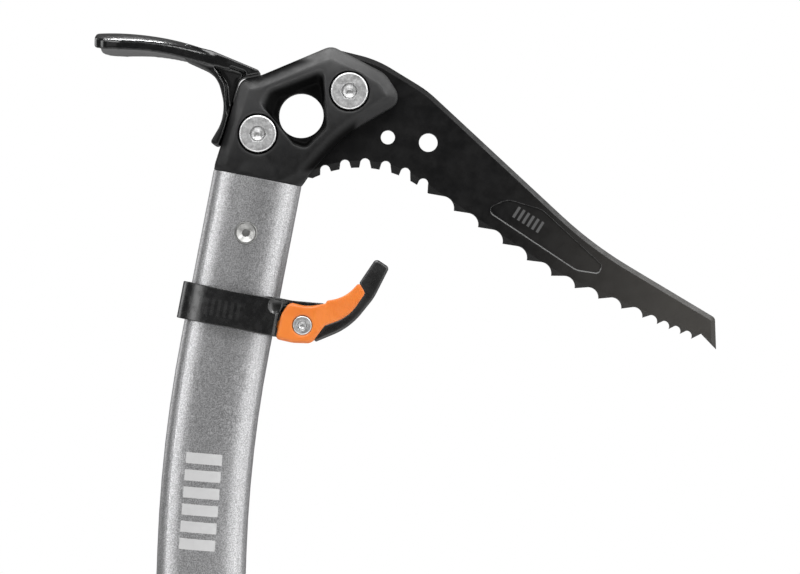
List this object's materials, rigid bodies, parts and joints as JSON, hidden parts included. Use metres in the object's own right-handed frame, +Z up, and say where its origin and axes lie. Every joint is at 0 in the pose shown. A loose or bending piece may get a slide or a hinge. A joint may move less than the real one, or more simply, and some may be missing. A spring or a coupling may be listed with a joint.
{
  "type": "ice axe",
  "caption": "Bent-shaft ice axe with a toothed pick, flared adze, bolted head, rubber grip, steel spike and a sliding handrest whose clamp lever opens upwards.",
  "frame": {"origin": "centre of the carabiner hole through the head, in the axe's middle plane", "axes": "+Z up along the straight lower shaft, from the spike towards the head; +X from the shaft towards the pick, with the adze on -X; +Y along the carabiner hole, from the cheek with the screw heads to the cheek with the nuts"},
  "size_m": [0.2355, 0.048, 0.5228],
  "materials": {
    "shaft_alloy": "bead-blasted, fine satin",
    "head_alloy": "dark coated forging, matte",
    "pick_steel": "black coated steel, matte",
    "adze_steel": "black lacquered steel, glossy",
    "screw_steel": "bright, turned",
    "rivet_steel": "dull",
    "plug_foam": "closed-cell foam",
    "band_plastic": "black, satin to gloss",
    "pad_plastic": "black",
    "facing_rubber": "matte",
    "bush_plastic": "natural",
    "lever_plastic": "orange, satin",
    "hook_plastic": "black, satin",
    "pivot_steel": "satin",
    "grip_rubber": "moulded, matte",
    "spike_steel": "ground, dull"
  },
  "bodies": {
    "axe": {"shaft_tube": "shaft_alloy", "head_body": "head_alloy", "pick": "pick_steel", "adze": "adze_steel", "head_screws": "screw_steel", "head_nuts": "screw_steel", "head_rivet": "rivet_steel", "tube_plugs": "plug_foam", "grip_sleeve": "grip_rubber", "spike": "spike_steel", "spike_rivet": "rivet_steel"},
    "handrest": {"handrest_band": "band_plastic", "pivot_bush": "bush_plastic", "pivot_washers": "bush_plastic"},
    "lever": {"lever_body": "lever_plastic", "lever_hook": "hook_plastic", "pivot_screw": "pivot_steel", "pivot_nut": "pivot_steel"},
    "pad": {"clamp_pad": "pad_plastic", "pad_facing": "facing_rubber"}
  },
  "joints": [
    {"name": "handrest_slide", "type": "slide", "parent": "axe", "child": "handrest", "axis": [0.1564, 0, 0.9877], "range_m": [-0.018, 0.015]},
    {"name": "lever_pivot", "type": "hinge", "parent": "handrest", "child": "lever", "pos_m": [0.00333, 0, -0.07833], "axis": [0, -1, 0], "range_deg": [0, 30]},
    {"name": "pad_release", "type": "slide", "parent": "handrest", "child": "pad", "axis": [0.9877, 0, -0.1564], "range_m": [0, 0.0003]}
  ],
  "couplings": [
    {"joint": "pad_release", "follows": "lever_pivot", "m_per_rad": 0.00057295}
  ]
}
